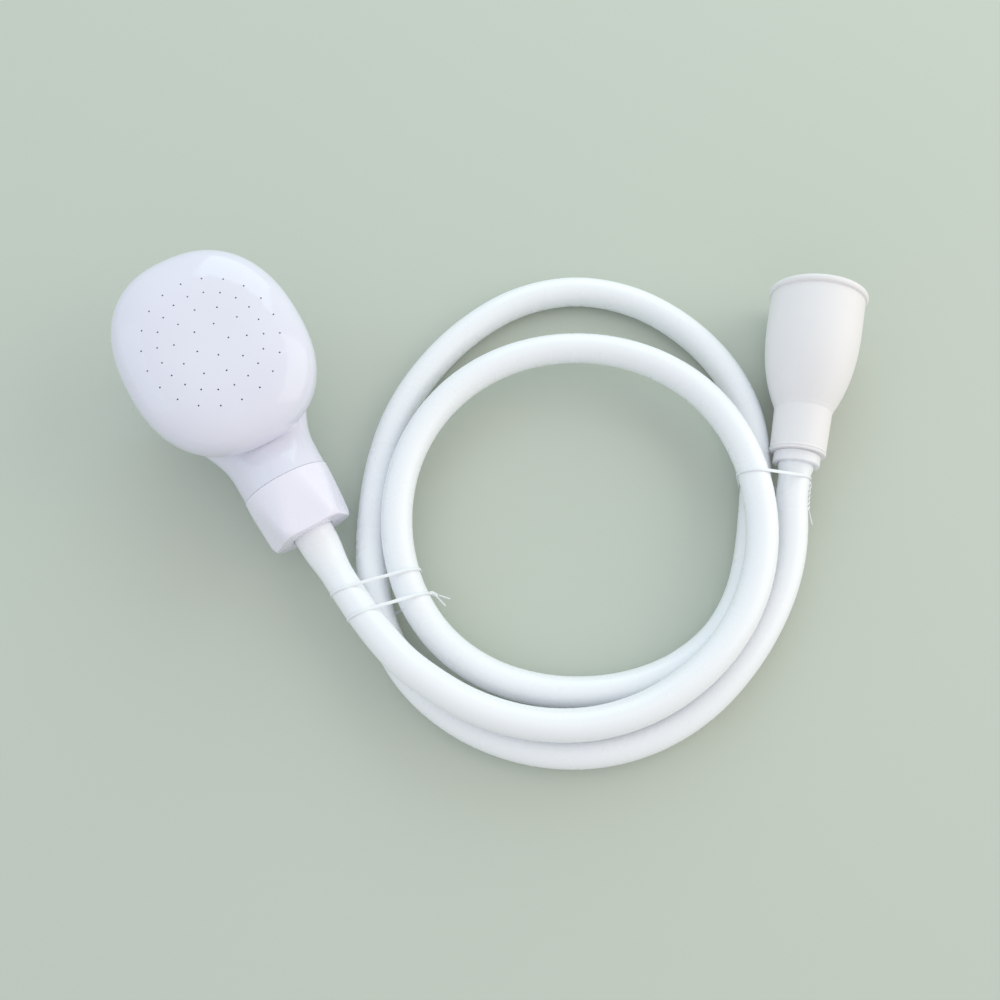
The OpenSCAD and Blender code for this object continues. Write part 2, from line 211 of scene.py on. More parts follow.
def smooth(values, u, looseness=0.0):
    """Cubic through values at whole numbers u, carried on straight at both ends: Catmull and Rom's, mixed by
    looseness with a cubic B-spline, which cuts inside the values."""
    v = np.asarray(values, float)
    v = np.concatenate([2 * v[:1] - v[1:2], v, 2 * v[-1:] - v[-2:-1]])
    i = np.clip(np.floor(u).astype(int), 0, len(v) - 4)
    f = u - i
    if v.ndim > 1:
        f = f[:, None]
    a, b, c, d = v[i], v[i + 1], v[i + 2], v[i + 3]
    through = b + f / 2 * (c - a + f * (2 * a - 5 * b + 4 * c - d + f * (3 * (b - c) + d - a)))
    inside = ((1 - f) ** 3 * a + (3 * f ** 3 - 6 * f ** 2 + 4) * b
              + (-3 * f ** 3 + 3 * f ** 2 + 3 * f + 1) * c + f ** 3 * d) / 6
    return through * (1 - looseness) + inside * looseness


def bend(a, b, c, d, t):
    """Bezier's cubic from a to d with the handles b and c."""
    t = t[:, None]
    return (1 - t) ** 3 * a + 3 * t * (1 - t) ** 2 * b + 3 * t * t * (1 - t) * c + t ** 3 * d


def across(path):
    """Side and up directions square to a path that never stands upright."""
    way = unit(np.gradient(path, axis=0))
    side = unit(np.cross([0, 0, 1], way))
    return side, np.cross(way, side)


def rounded(profile, radius, steps=4):
    """A profile with its inner corners rounded: each corner becomes a quadratic curve that starts and ends at
    most radius away from it, and never past the middle of an edge."""
    profile = np.asarray(profile, float)
    out = [profile[:1]]
    t = np.linspace(0, 1, steps + 1)[:, None]
    for before, corner, after in zip(profile[:-2], profile[1:-1], profile[2:]):
        a, b = before - corner, after - corner
        length_a, length_b = np.linalg.norm(a), np.linalg.norm(b)
        reach = min(radius, length_a * 0.45, length_b * 0.45)
        start, end = corner + a / length_a * reach, corner + b / length_b * reach
        out.append((1 - t) ** 2 * start + 2 * t * (1 - t) * corner + t ** 2 * end)
    out.append(profile[-1:])
    return np.concatenate(out)


# ---- Meshes ----
def grid_faces(rows, columns, closed=False):
    """Four-sided faces between neighbouring rows and columns. The last column joins the first, and in a
    closed grid the last row does too."""
    r = np.arange(rows if closed else rows - 1)[:, None]
    c = np.arange(columns)[None, :]
    a = r * columns + c
    b = r * columns + (c + 1) % columns
    d = (r + 1) % rows * columns + c
    e = (r + 1) % rows * columns + (c + 1) % columns
    return np.stack([a, b, e, d], -1).reshape(-1, 4)


def fan_faces(ring, pole):
    """Triangles from a closed ring of points to one point."""
    return np.stack([ring, np.roll(ring, -1), np.full(len(ring), pole)], -1)


def capped(rings, start, end):
    """Rings of points with the skin between them, closed by fans to the points start and end."""
    rows, columns = rings.shape[:2]
    count = rows * columns
    first, last = np.arange(columns), np.arange(count - columns, count)
    points = np.concatenate([rings.reshape(-1, 3), [start, end]])
    return points, [grid_faces(rows, columns), fan_faces(first[::-1], count), fan_faces(last, count + 1)]


def looped(rings):
    """Rings of points with the skin between them, the last ring joined to the first."""
    rows, columns = rings.shape[:2]
    return rings.reshape(-1, 3), [grid_faces(rows, columns, closed=True)]


def lathe(profile, columns):
    """A closed profile of (radius, height) carried round the z axis."""
    profile = np.asarray(profile, float)
    return looped(polar(profile[:, :1], around(columns), profile[:, 1:]))


def join(parts):
    """Several sets of points and faces as one set."""
    points, faces, first = [], [], 0
    for p, groups in parts:
        points.append(p)
        faces += [g + first for g in groups]
        first += len(p)
    return np.concatenate(points), faces


def piece(name, points, faces, crease=35):
    """A closed mesh from points in millimetres and lists of faces, turned outward if its volume, the sum of
    a . (b x c) over its triangles, is negative."""
    points = points * 0.001
    volume = 0.0
    for f in faces:
        for k in range(1, f.shape[1] - 1):
            a, b, c = points[f[:, 0]], points[f[:, k]], points[f[:, k + 1]]
            volume += np.einsum("ij,ij->", a, np.cross(b, c))
    if volume < 0:
        faces = [f[:, ::-1] for f in faces]
    mesh = bpy.data.meshes.new(name)
    mesh.from_pydata(points.tolist(), [], [row for f in faces for row in f.tolist()])
    smoothed(mesh, crease)
    made = bpy.data.objects.new(name, mesh)
    bpy.context.scene.collection.objects.link(made)
    return made


def smoothed(mesh, crease):
    """Smooth shading, with edges kept sharp past the crease angle in degrees."""
    mesh.polygons.foreach_set("use_smooth", np.ones(len(mesh.polygons), bool))
    mesh.update()
    mesh.set_sharp_from_angle(angle=math.radians(crease))


def dress(obj, material, body, slot, *nodes):
    """Gives a piece its finish, the parts that it stands for and its body. The slot is not used."""
    obj.data.materials.clear()
    obj.data.materials.append(material)
    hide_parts(*nodes)
    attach(obj, body)


# ---- Finishes ----
NOISE_LOW, NOISE_HIGH = 0.15, 0.85
ROUGHNESS_SIZE = 0.3  # of the colour drift's


def finish(name, colour, roughness, spread=0.04, mottle=0.015, mottle_size=0.02, grain_size=0.0005,
           grain=0.000004, swell_size=0.006, swell=0.00001, **sockets):
    """A moulded plastic or rubber: the colour drifts by mottle over mottle_size metres, the roughness by
    spread, and the surface has a fine grain and a slow swell, each with its size and height in metres."""
    material = bpy.data.materials.new(name)
    material.use_nodes = True
    tree = material.node_tree
    shader = tree.nodes["Principled BSDF"]
    shader.inputs["Roughness"].default_value = roughness
    for key, value in sockets.items():
        shader.inputs[key.replace("_", " ")].default_value = value

    def node(kind, **inputs):
        made = tree.nodes.new(kind)
        for key, value in inputs.items():
            made.inputs[key.replace("_", " ")].default_value = value
        return made

    where = node("ShaderNodeTexCoord").outputs["Object"]

    def noise(size, detail=3.0):
        made = node("ShaderNodeTexNoise", Scale=1 / size, Detail=detail)
        tree.links.new(where, made.inputs["Vector"])
        return made.outputs["Fac"]

    def ranged(value, low, high):
        made = node("ShaderNodeMapRange", From_Min=NOISE_LOW, From_Max=NOISE_HIGH, To_Min=low, To_Max=high)
        tree.links.new(value, made.inputs["Value"])
        return made.outputs["Result"]

    tone = tree.nodes.new("ShaderNodeMix")
    tone.data_type = "RGBA"
    tree.links.new(ranged(noise(mottle_size), 0, 1), tone.inputs["Factor"])
    tone.inputs["A"].default_value = (*[c * (1 - mottle) for c in colour], 1)
    tone.inputs["B"].default_value = (*[min(1, c * (1 + mottle)) for c in colour], 1)
    tree.links.new(tone.outputs["Result"], shader.inputs["Base Color"])
    tree.links.new(ranged(noise(mottle_size * ROUGHNESS_SIZE), roughness - spread, roughness + spread),
                   shader.inputs["Roughness"])
    fine = node("ShaderNodeBump", Strength=1.0, Distance=grain)
    tree.links.new(noise(grain_size, 2.0), fine.inputs["Height"])
    slow = node("ShaderNodeBump", Strength=1.0, Distance=swell)
    tree.links.new(noise(swell_size, 1.0), slow.inputs["Height"])
    tree.links.new(fine.outputs["Normal"], slow.inputs["Normal"])
    tree.links.new(slow.outputs["Normal"], shader.inputs["Normal"])
    return material


white_plastic = finish("gloss white moulded plastic", (0.78, 0.778, 0.89), 0.11, spread=0.015, grain=0.0000007,
                       swell=0.000006, IOR=1.53)
nut_plastic = finish("satin white moulded plastic", (0.86, 0.84, 0.95), 0.28, grain=0.0000012, IOR=1.5)
hose_vinyl = finish("milky clear vinyl", (0.905, 0.925, 0.965), 0.28, mottle=0.008, mottle_size=0.03,
                    grain_size=0.0012, grain=0.0000005, swell_size=0.018, swell=0.00001, IOR=1.52)
ferrule_plastic = finish("white collar plastic", (0.86, 0.86, 0.90), 0.36, IOR=1.5)
cup_rubber = finish("satin white rubber", (0.84, 0.82, 0.84), 0.48, grain_size=0.0007, grain=0.000004,
                    swell=0.00002, IOR=1.45)
tie_vinyl = finish("clear tie vinyl", (0.86, 0.89, 0.92), 0.22, grain_size=0.0008, IOR=1.5)
seal_rubber = finish("black seal rubber", (0.03, 0.03, 0.032), 0.6, mottle=0.2, mottle_size=0.004,
                     grain=0.00001)
inner_plastic = finish("insert plastic", (0.62, 0.62, 0.6), 0.4, mottle_size=0.004)


# ---- Hose ----
LEAD_HANDLES, LEAD_RINGS = (9, 17), 4
LAST_HANDLES, LAST_RINGS = (43, 8), 6
END_RINGS = 4
ROUTE_LOOSENESS = 0.5
ROUTE_STEP = 2.6
NUT_SWELL_START, NUT_SWELL_LENGTH = NUT_END + 3 - FLANGE_END, 17
CUP_SWELL_START, CUP_SWELL_LENGTH = FLANGE_START + COLLAR_LENGTH + 1, 3.2
TAIL_STEP_LENGTH = 2
HOSE_COLUMNS = 40


def coil_point(angle):
    """Point of the coil at an angle in degrees: its middle, plus the reach that way, at the height there."""
    angle = np.atleast_1d(np.asarray(angle, float))
    u = (angle - COIL_START) / KNOT_STEP
    reach, height = smooth(COIL_REACH, u), smooth(COIL_HEIGHT, u)
    return polar(reach, np.radians(angle), height) + [*COIL_MIDDLE, 0] - ORIGIN


def hose_route():
    """The hose's axis from the washer to the cup's insert: straight out of the nut, a bend, two and a quarter
    turns of the coil, a bend and straight into the cup. Gives even points of it and the distance at each."""
    coil_end = COIL_START + KNOT_STEP * (len(COIL_REACH) - 1)
    lead_start = at_head([NUT_END, 0, 0]) + NUT_STRAIGHT * NUT_WAY
    lead_end = coil_point(COIL_START)[0]
    lead_way = unit(coil_point(COIL_START + 0.5)[0] - lead_end)
    last_start = coil_point(coil_end)[0]
    last_way = unit(last_start - coil_point(coil_end - 0.5)[0])
    last_end = at_cup([0, 0, -COLLAR_LENGTH - CUP_STRAIGHT])
    lead = bend(lead_start, lead_start + LEAD_HANDLES[0] * NUT_WAY,
                lead_end - LEAD_HANDLES[1] * lead_way, lead_end, np.arange(LEAD_RINGS) / LEAD_RINGS)
    coil = coil_point(np.arange(COIL_START, coil_end + 1, RING_STEP))
    last = bend(last_start, last_start + LAST_HANDLES[0] * last_way,
                last_end - LAST_HANDLES[1] * CUP_WAY, last_end, np.arange(1, LAST_RINGS + 1) / LAST_RINGS)
    zeros = np.zeros((2, END_RINGS))
    in_nut_x = np.linspace(FLANGE_END, NUT_END + NUT_STRAIGHT, END_RINGS + 1)[:-1]
    in_cup_z = np.linspace(-COLLAR_LENGTH - CUP_STRAIGHT, FLANGE_START, END_RINGS + 1)[1:]
    rings = np.concatenate([at_head(np.stack([in_nut_x, *zeros], -1)), lead, coil, last,
                            at_cup(np.stack([*zeros, in_cup_z], -1))])
    fine = smooth(rings, np.linspace(0, len(rings) - 1, 4000), ROUTE_LOOSENESS)
    run = run_along(fine)
    even = np.linspace(0, run[-1], int(run[-1] / ROUTE_STEP) + 1)
    return read_at(even, run, fine), even


def hose():
    """Outer wall, end face, bore and end face as rings carried along the route, closed both ways. The wall
    swells over the barbed tail at each end, as its radius plus a smooth step, and the bore widens round it."""
    route, run = hose_route()
    side, up = across(route)
    to_end = run[-1] - run
    at_nut = 1 - eased((run - NUT_SWELL_START) / NUT_SWELL_LENGTH)
    in_cup = 1 - eased((to_end - CUP_SWELL_START) / CUP_SWELL_LENGTH)
    wall = HOSE_RADIUS + (CUFF_RADIUS - HOSE_RADIUS) * at_nut + (CUP_HOSE_RADIUS - HOSE_RADIUS) * in_cup
    tail = np.maximum(1 - eased((run - TAIL_REACH) / TAIL_STEP_LENGTH),
                      1 - eased((to_end - TAIL_REACH) / TAIL_STEP_LENGTH))
    bore = BORE_RADIUS + (BARB_RADIUS - BORE_RADIUS) * tail
    a = around(HOSE_COLUMNS)
    spokes = np.cos(a)[None, :, None] * side[:, None] + np.sin(a)[None, :, None] * up[:, None]
    outer = route[:, None] + wall[:, None, None] * spokes
    inner = (route[:, None] + bore[:, None, None] * spokes)[::-1]
    return piece("hose", *looped(np.concatenate([outer, inner]))), route


hose_piece, ROUTE = hose()
dress(hose_piece, hose_vinyl, "hose_line", "hose", "hose_head_end", "hose_coil", "hose_tap_end")


# ---- Twist ties ----
def strands_at(place, heading, reach):
    """Where the hose passes through the upright plane at a place and heading: across the plane, and up."""
    along = np.array([np.cos(heading), np.sin(heading), 0])
    normal = np.array([-np.sin(heading), np.cos(heading), 0])
    p = ROUTE - place
    s = p @ normal
    i = np.nonzero(s[:-1] * s[1:] < 0)[0]
    t = s[i] / (s[i] - s[i + 1])
    q = p[i] + (p[i + 1] - p[i]) * t[:, None]
    q = q[np.abs(q @ along) < reach]
    return np.stack([q @ along, q[:, 2]], -1)


def round_bundle(strands, radius, count=160):
    """The taut line round circles of one radius at the strands: for each outward direction, the point of the
    circle that lies farthest that way. Gives even points along it, and the outward direction at each."""
    a = np.linspace(0, 2 * np.pi, 1441)
    out = np.stack([np.cos(a), np.sin(a)], -1)
    line = strands[(strands @ out.T).argmax(0)] + radius * out
    run = run_along(line)
    even = np.linspace(0, run[-1], count, endpoint=False)
    return read_at(even, run, line), read_at(even, run, out)


def ribbon(path, out, closed, half_width=TIE_HALF_WIDTH, columns=14):
    """Rings of a flat wire with a round core, carried along a path. Across it, the half thickness toward out
    is that of a flat oval, t |sin a|^0.6, raised by half in a bell 0.25 wide over the core."""
    way = unit(np.roll(path, -1, 0) - np.roll(path, 1, 0) if closed else np.gradient(path, axis=0))
    flat = unit(np.cross(way, out))
    out = np.cross(flat, way)
    a = around(columns)
    w = half_width * np.cos(a)
    h = TIE_HALF_THICK * np.sign(np.sin(a)) * np.abs(np.sin(a)) ** 0.6
    h = h * (1 + 0.5 * np.exp(-(w / 0.25) ** 2))
    return path[:, None] + w[None, :, None] * flat[:, None] + h[None, :, None] * out[:, None]


def twist(points, turns, pitch_radius=0.5, splay_from=0.7, splay=1.1, rows=60):
    """The tie's two ends wound round each other along a line, then splayed a little at the tip."""
    fine = smooth(points, np.linspace(0, len(points) - 1, rows))
    side, up = across(fine)
    u = np.linspace(0, 1, rows)[:, None]
    radius = pitch_radius * np.minimum(1, u * 8 + 0.2)
    radius = radius + splay * np.maximum(u - splay_from, 0) / (1 - splay_from)
    ends = []
    for phase in (0, np.pi):
        a = 2 * np.pi * turns * np.minimum(u, splay_from) / splay_from + phase
        spoke = np.cos(a) * side + np.sin(a) * up
        path = fine + radius * spoke
        ends.append(capped(ribbon(path, spoke, False, half_width=0.5, columns=10), path[0], path[-1]))
    return ends


def tie(name, bands, tail, turns):
    """Bands round the bundle, each at its own place, heading and reach, and the twisted ends, which lead from
    the last band through the points of the tail."""
    parts = []
    for place, heading, reach in bands:
        place, heading = np.array(place, float) - ORIGIN, math.radians(heading)
        line, out = round_bundle(strands_at(place, heading, reach), HOSE_RADIUS + TIE_SLACK)
        plane = np.array([[math.cos(heading), math.sin(heading), 0], [0, 0, 1]])
        path = place + line @ plane
        path[:, 2] = np.maximum(path[:, 2], TIE_HALF_THICK + FLOOR_GAP)
        parts.append(looped(ribbon(path, out @ plane, True)))
    start = path[np.argmax(line[:, 0])]
    parts += twist(np.array([start, *(np.array(tail) - ORIGIN)]), turns)
    return piece(name, *join(parts))


left = tie("twist_tie_left", [((-47, -37.7, 0), 18, 27), ((-41.5, -47, 0), 21, 22)],
           [(-25, -41, 12.5), (-19.5, -44.3, 12)], 2.5)
dress(left, tie_vinyl, "hose_line", "tie", "tie_left")
right = tie("twist_tie_right", [((105, 4, 0), 0, 20)], [(120.3, -4, 8.4), (119.7, -12.5, 7.6)], 3)
dress(right, tie_vinyl, "hose_line", "tie", "tie_right")


# ---- Spray face ----
FACE_COLUMNS = 160
FIRST_ROWS = [1.2, 2.6, 4.0, 5.1]
BLOCK_STEP = 0.0393  # a row's step outward at a hole, by its ring's radius: as far as a column's step round
ROW_STEP = 1.4
ROW_POWER = 2.5


def outline_reach(angle, inset=0.0):
    """Distance from the middle to the oval outline at polar angles: the outline is x = a c^(2/p),
    y = b s^(2/p) for signed powers of cosine c and sine s, read off at the angle of the point (x, y)."""
    t = np.linspace(-np.pi, np.pi, 4001)
    c, s = np.cos(t), np.sin(t)
    x = (np.where(c >= 0, FACE_FRONT, FACE_BACK) - inset) * np.sign(c) * np.abs(c) ** (2 / OUTLINE_POWER)
    y = (FACE_HALF_WIDTH - inset) * np.sign(s) * np.abs(s) ** (2 / OUTLINE_POWER)
    angle_there, reach = np.arctan2(y, x), np.hypot(x, y)
    order = np.argsort(angle_there)
    return np.interp(angle, angle_there[order], reach[order], period=2 * np.pi)


def dome(fraction, base, rise, power=DOME_POWER):
    """Height of a dome at a fraction of the way out to its outline: base + rise (1 - f^p)^(1/p)."""
    return base + rise * np.maximum(1 - np.minimum(fraction, 1) ** power, 0) ** (1 / power)


def face_radii():
    """Radii of the face's rows out to the last ring of holes: five close rows to each ring, with the ring in
    their middle, and even rows between. Gives the radii and the number of each ring's own row."""
    radii, hole_rows = list(FIRST_ROWS), []
    for ring, r in enumerate(RING_RADII):
        step = BLOCK_STEP * r
        hole_rows.append(len(radii) + 2)
        radii += [r - 2 * step, r - step, r, r + step, r + 2 * step]
        if ring + 1 < len(RING_RADII):
            gap = RING_RADII[ring + 1] * (1 - 2 * BLOCK_STEP) - (r + 2 * step)
            count = max(1, round(gap / ROW_STEP) - 1)
            radii += [r + 2 * step + gap * (k + 1) / (count + 1) for k in range(count)]
    return np.array(radii), hole_rows


def spray_face():
    """Polar grid over the face, over its rim and back under it. Radii are plain circles as far as the last
    ring of holes, then go over to the oval outline, with 1 - f as (1 - s)^2.5 so that the rows climb the side
    evenly. Round each hole a block of four by four faces is opened, its edge drawn to a circle, and walled
    through."""
    columns = FACE_COLUMNS
    angle = around(columns) + math.radians(RING_TURN)
    edge, inner_edge = outline_reach(angle), outline_reach(angle, HEAD_WALL)
    top_rise, inner_rise = FACE_CROWN - FACE_RIM, FACE_CROWN - HEAD_WALL - FACE_RIM - SKIRT
    radii, hole_rows = face_radii()
    disc = np.stack([radii[:, None] * np.cos(angle), radii[:, None] * np.sin(angle)], -1)

    # A block's edge as row and column steps, in order round the block, and the circle's angle for each
    block = [(-2, k) for k in range(-2, 2)] + [(k, 2) for k in range(-2, 2)]
    block += [(2, -k) for k in range(-2, 2)] + [(-k, -2) for k in range(-2, 2)]
    row_steps, column_steps = np.array(block).T
    turned_by = np.arctan2(column_steps, row_steps)[:, None]
    mouth, holes = disc.copy(), []
    for count, r, row in zip(RING_HOLES, RING_RADII, hole_rows):
        for k in range(count):
            centre = k * columns // count
            a = angle[centre]
            outward, sideways = np.array([np.cos(a), np.sin(a)]), np.array([-np.sin(a), np.cos(a)])
            circle = np.cos(turned_by) * outward + np.sin(turned_by) * sideways
            rows, cols = row + row_steps, (centre + column_steps) % columns
            disc[rows, cols] = r * outward + THROAT_RADIUS * circle
            mouth[rows, cols] = r * outward + MOUTH_RADIUS * circle
            holes.append((row, centre, rows, cols))

    def lift(flat, inset, base, rise):
        outline = outline_reach(np.arctan2(flat[..., 1], flat[..., 0]), inset)
        height = dome(np.hypot(flat[..., 0], flat[..., 1]) / outline, base, rise)
        return np.concatenate([flat, height[..., None]], -1)

    def side_rows(outline, spread, base, rise):
        reach = outline * (1 - (1 - radii[-1] / outline) * spread ** ROW_POWER)
        return polar(reach, angle, dome(reach / outline, base, rise))

    top = lift(mouth, 0, FACE_RIM, top_rise)
    side = side_rows(edge, 1 - np.linspace(0, 1, 27)[1:-1, None], FACE_RIM, top_rise)
    fillet = [polar(edge - EDGE_FILLET * (1 - np.cos(a)), angle, FACE_RIM + EDGE_FILLET * (1 - np.sin(a)))[None]
              for a in np.linspace(0, np.pi / 2, 5)]
    skirt = [polar(inner_edge, angle, z)[None] for z in (FACE_RIM, FACE_RIM + SKIRT)]
    under = side_rows(inner_edge, np.linspace(0, 1, 15)[1:-1, None], FACE_RIM + SKIRT, inner_rise)
    bottom = lift(disc, HEAD_WALL, FACE_RIM + SKIRT, inner_rise)
    sheet = np.concatenate([top, side, *fillet, *skirt, under, bottom[::-1]])

    # Each hole's wall goes from its mouth by a narrower throat just below to its edge on the underside
    total = len(sheet)
    keep = np.ones((total - 1, columns), bool)
    below = lift(disc, 0, FACE_RIM, top_rise) - [0, 0, MOUTH_DEPTH]
    walls, throats, first = [], [], total * columns
    for row, centre, rows, cols in holes:
        block_rows = np.arange(row - 2, row + 2)[:, None]
        block_cols = np.arange(centre - 2, centre + 2) % columns
        keep[block_rows, block_cols] = False
        keep[total - 2 - block_rows, block_cols] = False
        a, c = rows * columns + cols, (total - 1 - rows) * columns + cols
        b = first + np.arange(len(rows))
        for u, v in ((a, b), (b, c)):
            walls.append(np.stack([u, v, np.roll(v, -1), np.roll(u, -1)], -1))
        throats.append(below[rows, cols])
        first += len(rows)
    quads = grid_faces(total, columns)[keep.reshape(-1)]
    poles = np.array([[0, 0, FACE_CROWN], [0, 0, FACE_CROWN - HEAD_WALL]])
    top_fan = fan_faces(np.arange(columns)[::-1], first)
    bottom_fan = fan_faces(np.arange(columns) + (total - 1) * columns, first + 1)
    points = np.concatenate([sheet.reshape(-1, 3), *throats, poles])
    return piece("spray_face", at_head(points), [quads, *walls, top_fan, bottom_fan])


# ---- Bowl and neck ----
NECK_X = np.array([SEAM - 27, SEAM - 19, SEAM - 13, SEAM - 6, SEAM + 2])
NECK_HALF_WIDTH = np.array([22.7, 19, 17.2, 16.8, 16.8])
NECK_ABOVE = np.array([11.5, 13, 13.9, 16, 16.9])
NECK_BELOW = np.array([18.9, 18.1, 17.2, 16.8, 16.8])
SKIN_VOXEL = 0.0007
SKIN_PASSES = 14


def bowl_solid(inset, top, drop, columns=96, rows=40):
    """The palm bowl: a dome that hangs by drop from the rim's height, its top edge standing to top."""
    angle = around(columns)
    edge = outline_reach(angle, inset)
    s = (1 - (1 - np.linspace(0.0, 1, rows)) ** ROW_POWER)[1:]
    hanging = polar(edge * s[:, None], angle, -dome(s, -FACE_RIM, drop, BOWL_POWER)[:, None])
    lid = polar(edge, angle, top)[None]
    return capped(np.concatenate([hanging, lid]), [0, 0, FACE_RIM - drop], [0, 0, top])


def neck_solid(columns=96, rows=60):
    """The neck: half ovals above and below the handle axis, whose width and heights follow smooth curves from
    the bowl to the seam."""
    x = np.linspace(NECK_X[0], NECK_X[-1], rows)
    u = np.interp(x, NECK_X, np.arange(len(NECK_X)))
    width, above, below = (smooth(v, u)[:, None] for v in (NECK_HALF_WIDTH, NECK_ABOVE, NECK_BELOW))
    a = around(columns)
    height = np.where(np.sin(a) >= 0, above, below) * np.sin(a)
    return capped(np.stack([x[:, None] + 0 * a, width * np.cos(a), height], -1), [x[0], 0, 0], [x[-1], 0, 0])


def rod_solid(radius, start, end, columns=64):
    """A plain rod along the handle axis, used to cut bores."""
    a = around(columns)
    rings = np.stack([along_handle(radius, a, start), along_handle(radius, a, end)])
    return capped(rings, [start, 0, 0], [end, 0, 0])


def applied(obj, name):
    """The object's mesh with its modifiers applied, as a new object in its place."""
    mesh = bpy.data.meshes.new_from_object(obj.evaluated_get(bpy.context.evaluated_depsgraph_get()))
    made = bpy.data.objects.new(name, mesh)
    bpy.context.scene.collection.objects.link(made)
    bpy.data.objects.remove(obj)
    return made


def combined(body, operation, solids):
    """Joins solids to a body, or cuts them from it, by modifiers that are still to be applied. Gives the
    solids' objects, to be removed once they are."""
    others = []
    for n, (points, faces) in enumerate(solids):
        others.append(piece(f"{operation.lower()}_{n}", at_head(points), faces))
        change = body.modifiers.new(f"{operation.lower()}_{n}", "BOOLEAN")
        change.operation, change.object, change.solver = operation, others[-1], "EXACT"
    return others


def palm_bowl():
    """Bowl and neck run together into one skin, with the meeting rounded, then hollowed and bored."""
    points, faces = bowl_solid(HEAD_WALL, FACE_RIM + SKIRT, FACE_RIM + BOWL_DEPTH)
    body = piece("bowl_blank", at_head(points), faces)
    others = combined(body, "UNION", [neck_solid()])
    remesh = body.modifiers.new("remesh", "REMESH")
    remesh.mode, remesh.voxel_size, remesh.use_smooth_shade = "VOXEL", SKIN_VOXEL, True
    soften = body.modifiers.new("soften", "SMOOTH")
    soften.factor, soften.iterations = 0.5, SKIN_PASSES
    body = applied(body, "palm_bowl")
    hollow = bowl_solid(2 * HEAD_WALL, FACE_RIM + SKIRT + 1, FACE_RIM + BOWL_DEPTH - HEAD_WALL, 72, 24)
    neck_bore = rod_solid(NECK_BORE, 20, SEAM - 5)
    spigot_seat = rod_solid(SPIGOT_RADIUS - 0.5, SEAM - 6, SEAM + 2)
    past_seam = rod_solid(26, SEAM - SEAM_GAP, SEAM + 8)
    others += combined(body, "DIFFERENCE", [hollow, neck_bore, spigot_seat, past_seam])
    body = applied(body, "palm_bowl")
    for other in others:
        bpy.data.objects.remove(other)
    smoothed(body.data, 40)
    return body


# ---- Spigot and nut ----
def inlet_spigot():
    """The pipe thread that the nut screws on: r = major radius less the depth of a saw at x / pitch - turn,
    cut flat at root and crest, fading in at the seam and drawn in at the tip, with the bore through it."""
    x = np.linspace(SEAM - 2, SPIGOT_END - 0.5, 110)[:, None]
    a = around(96)[None]
    saw = np.abs(((x - SEAM) / THREAD_PITCH - a / (2 * np.pi)) % 1 - 0.5) * 2
    saw = np.clip(saw * 1.3 - 0.15, 0, 1)
    fade = eased((x - SEAM - 0.4) / 1.2)
    r = SPIGOT_RADIUS - THREAD_DEPTH * saw * fade - 0.7 * eased((x - (SPIGOT_END - 1.6)) / 1.2)
    inside = np.array([(SPIGOT_RADIUS - THREAD_DEPTH, SPIGOT_END - 0.2), (SPIGOT_RADIUS - 1.4, SPIGOT_END),
                       (SPIGOT_BORE + 0.3, SPIGOT_END), (SPIGOT_BORE, SPIGOT_END - 0.3),
                       (SPIGOT_BORE, SPIGOT_ROOT), (SPIGOT_RADIUS - 0.3, SPIGOT_ROOT)])
    rings = np.concatenate([along_handle(r, a, x), along_handle(inside[:, :1], a, inside[:, 1:])])
    points, faces = looped(rings)
    return piece("inlet_spigot", at_head(points), faces)


def close_rows(profile, step=0.6):
    """A profile with points added along its edges, at most about a step apart."""
    out = [profile[:1]]
    for p, q in zip(profile[:-1], profile[1:]):
        n = max(1, int(np.linalg.norm(q - p) / step))
        out.append(p + (q - p) * (np.arange(1, n + 1) / n)[:, None])
    return np.concatenate(out)


def union_nut():
    """Closed profile round the handle axis. Outside, r = the lesser of the turned radius and a(x) / cos(t)
    for the nearest leaning flat, with the edge between them eased; inside, the bore, step and hose hole."""
    rim, hole_rim = (NUT_RADIUS - 0.6, 0), (NUT_HOLE + 0.4, NUT_LENGTH)
    outside = close_rows(rounded([
        rim, (NUT_RADIUS, 0), (NUT_RADIUS, NUT_LENGTH - CHAMFER), (NUT_RADIUS - 1.3, NUT_LENGTH - 0.2),
        (NUT_RADIUS - 2.0, NUT_LENGTH), hole_rim], 1.3, 6))
    bore, step = SPIGOT_RADIUS + RUNNING_FIT, FLANGE_END - SEAM + 0.06
    inside = rounded([hole_rim, (NUT_HOLE, NUT_LENGTH - 0.4), (NUT_HOLE, step), (bore, step), (bore, 0.4),
                      (bore + 0.4, 0), rim], 0.15, 1)[1:-1]
    a = around(240)[None]
    half = np.pi / NUT_FLATS
    away = (a - np.pi + half) % (2 * half) - half
    lean = (NUT_RADIUS - FLAT_REACH) / (NUT_LENGTH - CHAMFER)
    ease = 1.2  # reach of the blend between flat and round
    r, x = outside[:, :1], outside[:, 1:]
    flat = (FLAT_REACH + (NUT_LENGTH - x) * lean) / np.cos(away)
    h = np.clip(0.5 + 0.5 * (flat - r) / ease, 0, 1)
    lesser = flat * (1 - h) + r * h - ease * h * (1 - h)
    r = np.where(x > 0.5, lesser, r)
    rings = np.concatenate([along_handle(r, a, x + SEAM), along_handle(inside[:, :1], a, inside[:, 1:] + SEAM)])
    points, faces = looped(rings)
    return piece("grip_nut", at_head(points), faces, crease=50)


dress(spray_face(), white_plastic, "head", "white_plastic", "face_shell")
dress(palm_bowl(), white_plastic, "head", "white_plastic", "back_shell")
dress(inlet_spigot(), white_plastic, "head", "white_plastic", "back_shell")
dress(union_nut(), nut_plastic, "nut", "nut_plastic", "union_nut")


